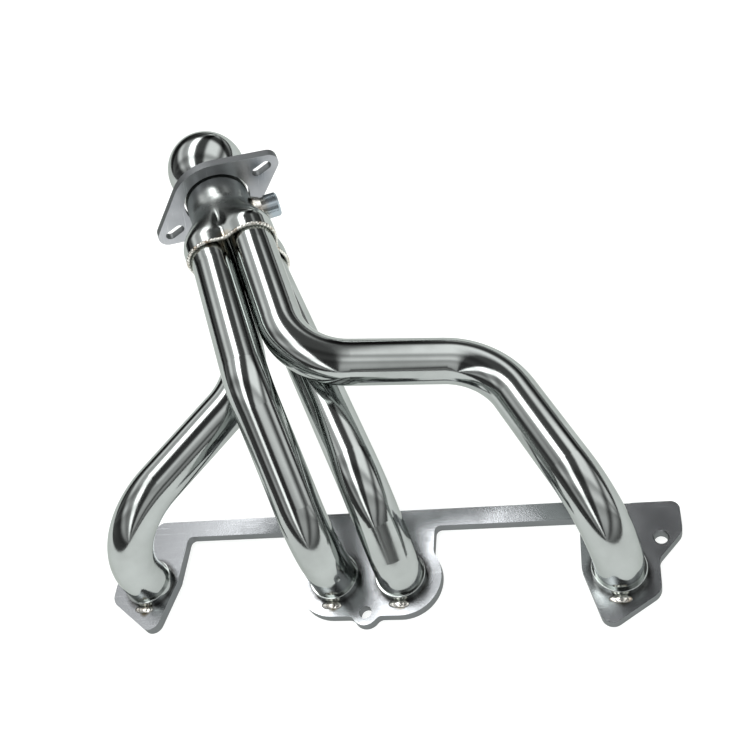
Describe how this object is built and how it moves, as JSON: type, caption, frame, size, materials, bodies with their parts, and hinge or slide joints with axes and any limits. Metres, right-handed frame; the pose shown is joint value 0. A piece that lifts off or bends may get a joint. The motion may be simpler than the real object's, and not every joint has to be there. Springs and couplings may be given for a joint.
{
  "type": "exhaust manifold",
  "caption": "Tubular exhaust manifold: bent primary tubes run from a flat head flange into a lobed collector with a ball outlet and a loose two-slot flange.",
  "frame": {"origin": "on the head flange's mating face, midway between the two inner ports", "axes": "+Z away from the cylinder head, +X along the head flange, +Y towards the outlet side"},
  "size_m": [0.4865, 0.4427, 0.2046],
  "materials": {
    "polished_steel": "mirror-polished stainless steel",
    "plate_steel": "satin, lightly ground, with smudges",
    "flange_steel": "satin with darker edges",
    "bung_steel": "turned, faintly blue",
    "weld_bead": "bright bead with straw heat tint"
  },
  "bodies": {
    "manifold": {"head_flange": "plate_steel", "primary_tube_1": "polished_steel", "port_ring_1": "polished_steel", "port_weld_1": "weld_bead", "flange_tack_1": "weld_bead", "collector_weld_1": "weld_bead", "primary_tube_2": "polished_steel", "port_ring_2": "polished_steel", "port_weld_2": "weld_bead", "flange_tack_2": "weld_bead", "collector_weld_2": "weld_bead", "primary_tube_3": "polished_steel", "port_ring_3": "polished_steel", "port_weld_3": "weld_bead", "flange_tack_3": "weld_bead", "collector_weld_3": "weld_bead", "primary_tube_4": "polished_steel", "port_ring_4": "polished_steel", "port_weld_4": "weld_bead", "flange_tack_4": "weld_bead", "collector_weld_4": "weld_bead", "collector_body": "polished_steel", "bundle_plug": "polished_steel", "outlet_ball": "polished_steel", "ball_weld": "weld_bead", "sensor_bung": "bung_steel", "sensor_bung_weld": "weld_bead"},
    "loose_flange": {"outlet_flange": "flange_steel"}
  },
  "joints": [
    {"name": "outlet_flange_turn", "type": "hinge", "parent": "manifold", "child": "loose_flange", "pos_m": [-0.1436, 0.32748, 0.16126], "axis": [-0.3956, 0.9097, 0.1262], "continuous": true}
  ]
}
